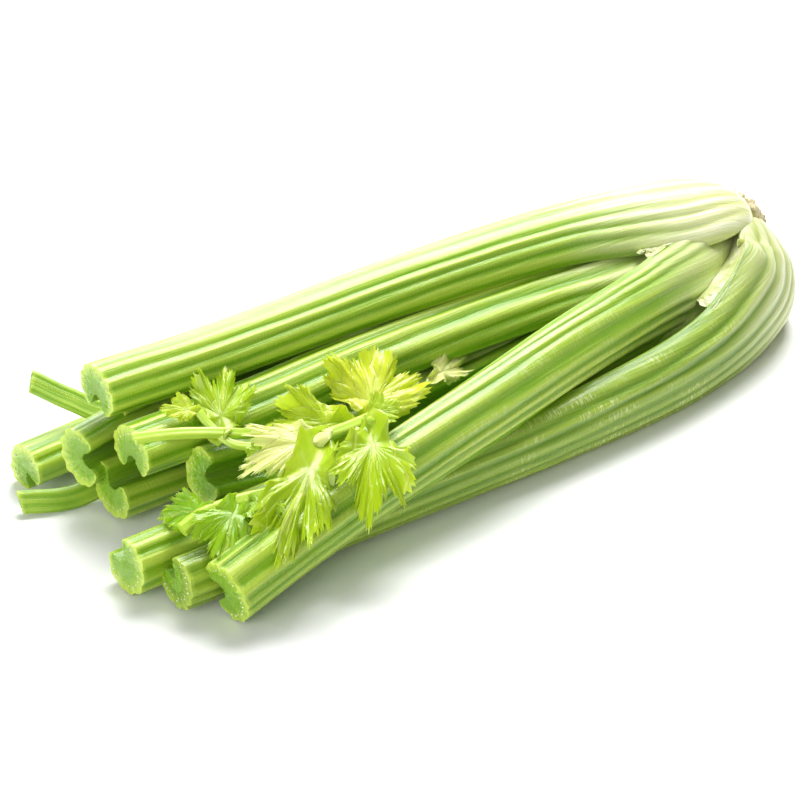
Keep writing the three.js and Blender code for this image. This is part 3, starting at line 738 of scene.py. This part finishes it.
# name: twigs (size and line), then leaves: foot, tip, the way it faces, then width, curl, cup,
# how far the lobes spread, turn and paleness
SPRAYS = {
    "heart_leaves": ([
        (6, [(-249, -26, 37), (-258, -30, 40), (-270, -34, 43), (-288, -37, 46)]),
        (4, [(-262, -32, 41), (-268, -42, 50), (-275, -52, 55)]),
        (4, [(-256, -28, 38), (-255, -28, 39), (-250, -24, 41)]),
    ], [
        ((-259, -32, 34), (-231, -2, 56), (-0.4, -0.8, 0.5), 1, 0.15, 0.4, 0.9, 0.4, 0.9),
        ((-266, -32, 43), (-309, -24, 50), (-0.1, -0.55, 0.8), 0.85, 0.3, 0.3, 0.8, 1.3, 0.55),
        ((-272, -45, 52), (-257, -50, 57), (-0.1, -0.4, 1), 1, 0.3, 0.4, 1, 2.2, 0.45),
        ((-270, -46, 53), (-304, -88, 44), (-0.1, -0.3, 1), 0.7, 0.6, 0.2, 0.7, 3.1, 0.4),
        ((-284, -34, 48), (-350, -84, 36), (-0.1, -0.2, 1), 0.5, 0.24, -0.6, 0.45, 0.9, 0.4),
        ((-284, -36, 47), (-330, -38, 48), (-0.2, -0.5, 0.85), 0.8, 0.4, -0.7, 0.8, 2.9, 1.6),
    ]),
    "side_leaves": ([
        (4, [(-313, -21, 43), (-320, -15, 45), (-323, -5, 50), (-324, 1, 54)]),
    ], [
        ((-324, -12, 44), (-298, 17, 62), (-0.5, -0.7, 0.6), 0.75, 0.18, 0.4, 0.62, 0, 0.35),
        ((-322, 0, 53), (-336, 12, 57), (-0.1, -0.3, 1), 0.8, 0.36, 0.4, 0.8, 1, 0.6),
        ((-314, -18, 44), (-314, -42, 43), (-0.2, -0.6, 0.8), 0.8, 0.42, 0.4, 0.8, 2, 0.3),
    ]),
    "low_leaves": ([
        (6.5, [(-362, -38, 31), (-350, -38, 34), (-336, -42, 36), (-324, -46, 37)]),
    ], [
        ((-345, -39, 35), (-364, -22, 31), (-0.3, -0.3, 1), 0.8, 0.3, 0.4, 0.8, 0, 0.05),
        ((-334, -40, 38), (-362, -64, 31), (-0.2, -0.5, 0.9), 0.85, 0.5, -0.3, 0.9, 1.4, 0.1),
        ((-334, -42, 36), (-330, -64, 41), (-0.2, -0.4, 1), 0.85, 0.3, 0.4, 1, 2.2, 0.1),
    ]),
    "inner_leaf": ([], [
        ((-212, -14, 33), (-180, -5, 35), (-0.3, -0.7, 0.7), 0.55, 0.3, 0.6, 0.7, 1, 1.6),
    ]),
}


def leaf_outline():
    """The toothed outline all the way round: angles and distances."""
    half = LEAF_HALF + [(180, HEART_SHARE / (1 - HEART_SHARE))]
    edge = half + [(360 - angle, reach) for angle, reach in reversed(half[1:-1])]
    fine = []
    for (start, near), (end, far) in zip(edge, edge[1:] + [(360, 1)]):
        for step, tooth in enumerate(TOOTH_PATTERN):
            share = step / len(TOOTH_PATTERN)
            sharp = tooth * TEETH * (step > 0) * (abs(start - 180) > 60)
            fine.append((math.radians(start + (end - start) * share), (near + (far - near) * share) * (1 + sharp)))
    return np.array(fine)


def blade_mesh(foot, tip, face, width, curl, cup, gather, turn):
    """One blade: points, faces and, for each point, its place on the leaf."""
    foot, tip = placed([foot, tip])
    length = (tip - foot).length
    along = (tip - foot).normalized()
    out = Vector(face)
    out = (out - along * out.dot(along)).normalized()
    side = along.cross(out)
    edge = leaf_outline()
    rings = np.linspace(0, 1, LEAF_RINGS + 1)[1:, None]
    reach = rings * edge[:, 1] * length * (1 - HEART_SHARE)
    angle = np.broadcast_to(edge[:, 0], reach.shape)
    signed = np.where(angle > math.pi, angle - math.tau, angle)
    drawn = signed * (gather + (1 - gather) * (signed / math.pi) ** 2)
    x, y = (reach * np.cos(drawn)).ravel(), (reach * np.sin(drawn) * width).ravel()
    ring, angle = np.broadcast_to(rings, reach.shape).ravel(), angle.ravel()
    x, y, ring, angle = (np.append(0.0, values) for values in (x, y, ring, angle))
    lift = (WAVE * ring ** 2 * np.sin(FLUTES * angle + turn) - curl * np.sign(x) * (x / length) ** 2
            + cup * (y / length) ** 2)
    lift += RUFFLE * ring ** 3 * np.sin(13 * angle + 3 * turn + 2 * ring)
    lift += RUFFLE * 0.5 * ring ** 2 * np.sin(29 * angle + 5 * turn) * np.sin(6 * ring + turn)
    fan = np.arctan2(y, x + (HEART_SHARE + 0.06) * length)
    lift += PLEAT * ring * (np.abs(np.sin(5 * fan + 0.4 * np.sin(3 * ring + turn))) - 0.5)
    lift += CRINKLE * ring * np.sin(17 * x / length + 2 * turn) * np.sin(21 * y / length + turn)
    middle = (np.array(foot + along * length * HEART_SHARE) + x[:, None] * np.array(along)
              + y[:, None] * np.array(side) + (lift * length)[:, None] * np.array(out))
    count = len(edge)
    j = np.arange(count)
    k = (j + 1) % count
    faces = [np.stack([0 * j, 1 + k, 1 + j, 1 + j], axis=1)]
    for level in range(LEAF_RINGS - 1):
        a, b = 1 + level * count + j, 1 + level * count + k
        faces.append(np.stack([a, b, b + count, a + count], axis=1))
    faces = np.concatenate(faces)
    normal = np.zeros_like(middle)
    across = np.cross(middle[faces[:, 2]] - middle[faces[:, 0]], middle[faces[:, 3]] - middle[faces[:, 1]])
    for corner in range(4):
        np.add.at(normal, faces[:, corner], across)
    normal /= np.linalg.norm(normal, axis=1)[:, None] + 1e-12
    half = (BLADE + (EDGE - BLADE) * ring ** 6)[:, None] / 2
    last = 1 + (LEAF_RINGS - 1) * count + j
    after = 1 + (LEAF_RINGS - 1) * count + k
    size = len(middle)
    rim = np.stack([last, after, after + size, last + size], axis=1)
    skins = np.concatenate([faces, faces[:, ::-1] + size, rim])
    spots = np.stack([x / length + HEART_SHARE, y / length, ring], axis=1)
    points = np.concatenate([middle + normal * half, middle - normal * half]) * MM
    return points, skins, np.concatenate([spots, spots])


def leaf_blade():
    """Blade finish: lime to green, glossy, with pale veins that fan out and fork."""
    finish, tree, shader = new_finish("leaf_blade")
    growth, kind = read(tree, "growth"), read(tree, "kind")
    x, y, ring = (growth.part(axis) for axis in range(3))
    pale, seed, length = (kind.part(axis) for axis in range(3))
    warp = speckle(joined(x * 6, y * 6, seed), 1.0, 2.0) - 0.5
    angle = y.sum("ARCTAN2", x + 0.04) + warp * 0.26
    reach = (x * x + y * y).sum("SQRT") + 0.01
    veins = None
    for count, width, start in ((9.0, 0.008, 0.0), (18.0, 0.005, 0.3), (36.0, 0.003, 0.5)):
        gap = ((angle * count * 0.5).sum("SINE")).sum("ABSOLUTE") * reach * 2 / count
        line = gap.ranged(0, width * 2.4, 1, 0) * reach.ranged(start * 0.6, start + 0.05)
        veins = line if veins is None else veins.sum("MAXIMUM", line)
    cloud = speckle(joined(x * 3, y * 3, seed + 5), 1.0, 3.0)
    lush = blend(cloud, paint(94, 156, 4), paint(140, 192, 12))
    lime = blend(cloud, paint(196, 222, 14), paint(226, 238, 60))
    colour = blend(pale.sum("MINIMUM", 1.0), lush, lime)
    colour = blend(((pale - 0.8) * 1.6 - ring * 0.2).sum("MAXIMUM", 0.0), colour, paint(240, 250, 142))
    colour = blend(veins * 0.4, colour, paint(224, 240, 120))
    tree.links.new(colour.socket, shader.inputs["Base Color"])
    grain = speckle(joined(x * 60, y * 60, seed), 1.0, 3.0)
    roughen(shader, grain * 0.25 + cloud * 0.3 + veins * -0.6 + 0.6, 0.0007, 0.7)
    fleshy(shader, Roughness=0.34, Subsurface_Weight=0.45, Subsurface_Scale=0.004, IOR=1.42,
           Coat_Weight=0.15, Coat_Roughness=0.25)
    return finish


blade = leaf_blade()
for name, (twigs, leaves) in SPRAYS.items():
    points, faces, spots, kinds = [], [], [], []
    for number, (*shape, paleness) in enumerate(leaves):
        more, skins, places = blade_mesh(*shape)
        faces.append(skins + sum(map(len, points)))
        points.append(more)
        spots.append(places)
        kinds.append(np.tile((paleness, number * 3.1 + len(name), 1.0), (len(more), 1)))
    mesh = bpy.data.meshes.new(name + "_fine")
    mesh.from_pydata(np.concatenate(points).tolist(), [], np.concatenate(faces).tolist())
    for label, values in (("growth", spots), ("kind", kinds)):
        mesh.attributes.new(label, "FLOAT_VECTOR", "POINT").data.foreach_set("vector", np.concatenate(values).ravel())
    mesh.materials.append(blade)
    mesh.update()
    piece = shown(name + "_fine", mesh)
    tidy_faces(piece)
    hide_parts(name)
    slot = "dark_leaf" if name == "low_leaves" else "leaf"
    parts = [piece]
    for number, (size, route) in enumerate(twigs):
        parts.append(stem(f"{name}_twig_{number + 1}", size, 0.8, 60, 6, 0.3, TENDER, route)[0])
        bpy.data.objects.remove(bpy.data.objects[parts[-1].name + "_space"])
    for part in parts:
        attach(part, "root")

# The crown. A short core that all the stalks grow from, cut across at the root: a rough,
# dry, cream and tan plate with brown root stubs.
CROWN_PROFILE = [  # radius and height above the root plate, mm
    (0.01, 3.1), (4, 3), (8.5, 2.7), (12.5, 1.8), (15.4, 0.2), (16, -2.6), (12, -5), (8, -11), (5.5, -18),
    (3, -28), (0.01, -28.5),
]
ROUGH_ROWS = 6
CROWN_SIDES, CROWN_STEPS = 120, 9


def crown_mesh():
    """The crown's rings, rough on the plate."""
    rows = []
    for i, ((near, low), (far, high)) in enumerate(zip(CROWN_PROFILE, CROWN_PROFILE[1:])):
        for step in range(CROWN_STEPS):
            share = step / CROWN_STEPS
            rows.append((near + (far - near) * share, low + (high - low) * share, i + share < ROUGH_ROWS - 1))
    points = []
    for radius, height, rough in rows:
        for k in range(CROWN_SIDES):
            degrees = 360 * k / CROWN_SIDES
            place = on_crown(degrees, radius, -height)
            if rough:
                lump = noise.fractal(place * 0.35, 0.9, 2.1, 4) + 0.5 * noise.fractal(place * 1.1, 0.8, 2.0, 3)
                place = place + root_normal * lump * 1.3 + (place - on_crown(0, 0, -height)) * lump * 0.05
            points.append((place + Vector(HEAD_SHIFT)) * MM)
    faces = [(i * CROWN_SIDES + k, i * CROWN_SIDES + (k + 1) % CROWN_SIDES,
              (i + 1) * CROWN_SIDES + (k + 1) % CROWN_SIDES, (i + 1) * CROWN_SIDES + k)
             for i in range(len(rows) - 1) for k in range(CROWN_SIDES)]
    last = (len(rows) - 1) * CROWN_SIDES
    faces += [tuple(range(CROWN_SIDES)), tuple(range(last, last + CROWN_SIDES))]
    mesh = bpy.data.meshes.new("crown_fine")
    mesh.from_pydata(points, [], faces)
    return mesh


def root_bark():
    """Root plate: cream pith, tan corky skin and brown scars."""
    finish, tree, shader = new_finish("root_bark")
    spot = Wire(tree, put(tree, "ShaderNodeTexCoord").outputs["Object"])
    cloud, grain, scar = speckle(spot, 130.0, 4.0), speckle(spot, 700.0, 4.0), speckle(spot, 260.0, 3.0)
    colour = blend((cloud * 1.8 - 0.4).ranged(0, 1), paint(250, 245, 216), paint(234, 216, 168))
    colour = blend(((grain - 0.54) * 5).ranged(0, 1, 0, 0.8), colour, paint(176, 130, 66))
    colour = blend(((scar - 0.58) * 8).ranged(0, 1, 0, 0.9), colour, paint(134, 90, 40))
    tree.links.new(colour.socket, shader.inputs["Base Color"])
    roughen(shader, grain * 0.6 + scar * 0.6, 0.0012, 0.8)
    shader.inputs["Roughness"].default_value = 0.8
    return finish


def stub_tree(finish):
    """Scatters short root stubs over the rough plate."""
    tree, given = new_tree("Root stubs", {"Amount": 60000.0, "Seed": 3.0})
    plate = given["Geometry"]
    spot = Wire(tree, put(tree, "GeometryNodeInputPosition").outputs[0])
    height = spot.vector("SUBTRACT", tuple(v * MM for v in placed([(0, 0, ROOT_HEIGHT)])[0]))
    height = height.vector("DOT_PRODUCT", tuple(root_normal))
    scatter = put(tree, "GeometryNodeDistributePointsOnFaces", {"Mesh": plate,
                  "Selection": height.sum("GREATER_THAN", 0.0002), "Density": given["Amount"], "Seed": 3})
    chance = Wire(tree, put(tree, "FunctionNodeRandomValue", {2: 0.4, 3: 1.5, "Seed": 8}).outputs[1])
    bead = put(tree, "GeometryNodeMeshIcoSphere", {"Radius": 0.55, "Subdivisions": 2})
    node = put(tree, "GeometryNodeInstanceOnPoints", {"Points": Wire(tree, scatter.outputs["Points"]),
               "Instance": Wire(tree, bead.outputs[0]), "Scale": joined(chance * MM, chance * MM, chance * MM)})
    node = put(tree, "GeometryNodeRealizeInstances", {"Geometry": Wire(tree, node.outputs[0])})
    node = put(tree, "GeometryNodeSetMaterial", {"Geometry": Wire(tree, node.outputs[0]), "Material": finish})
    put(tree, "NodeGroupOutput", {"Geometry": Wire(tree, node.outputs[0])})
    return tree


bark = root_bark()
crown = shown("crown_fine", crown_mesh())
crown.data.materials.append(bark)
tidy_faces(crown)
stubs = shown("crown_stubs", crown.data.copy())
modifier = stubs.modifiers.new("Stubs", "NODES")
modifier.node_group = stub_tree(bark)
plain(stubs)
tidy_faces(stubs)
trimmed(crown, envelopes)
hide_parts("crown")
for part in (crown, stubs):
    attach(part, "root")

# The table, the light and the camera. A plain pale table, a large soft light above and
# behind, and a camera that looks down at the head from the front left.
table = bpy.data.meshes.new("table_top")
table.from_pydata([(-4, -4, 0), (4, -4, 0), (4, 4, 0), (-4, 4, 0)], [], [(0, 1, 2, 3)])
table = shown("table_top", table)
finish, tree, shader = new_finish("table_white")
spot = Wire(tree, put(tree, "ShaderNodeTexCoord").outputs["Object"])
tree.links.new(blend(speckle(spot, 3.0), paint(250, 250, 250), paint(255, 255, 255)).socket,
               shader.inputs["Base Color"])
shader.inputs["Roughness"].default_value = 0.7
table.data.materials.append(finish)

world = bpy.data.worlds.new("studio")
world.use_nodes = True
world.node_tree.nodes["Background"].inputs["Color"].default_value = (1, 1, 1, 1)
world.node_tree.nodes["Background"].inputs["Strength"].default_value = 0.32
bpy.context.scene.world = world


def aimed(piece, place, target):
    """Puts a lamp or camera in its place, looking at a target."""
    piece.location = place
    piece.rotation_euler = (Vector(target) - Vector(place)).to_track_quat("-Z", "Y").to_euler()
    bpy.context.scene.collection.objects.link(piece)
    return piece


for name, place, size, power in (
        ("key_light", (0.50, 0.45, 1.1), 0.9, 30), ("fill_light", (-1.3, -0.35, 0.45), 0.9, 10),
        ("rim_light", (0.72, 0.92, 0.55), 0.5, 7)):
    lamp = bpy.data.lights.new(name, "AREA")
    lamp.size, lamp.energy = size, power
    aimed(bpy.data.objects.new(name, lamp), place, (0, 0, 0.03))

lens = bpy.data.cameras.new("camera")
lens.lens, lens.sensor_width, lens.clip_start = 118.8, 36, 0.05
bpy.context.scene.camera = aimed(bpy.data.objects.new("camera", lens), (-0.6808, -0.7770, 0.6050),
                                 (-0.04065, -0.01406, 0.030))
bpy.context.scene.view_settings.view_transform = "Standard"

for space in envelopes:
    bpy.data.objects.remove(space)
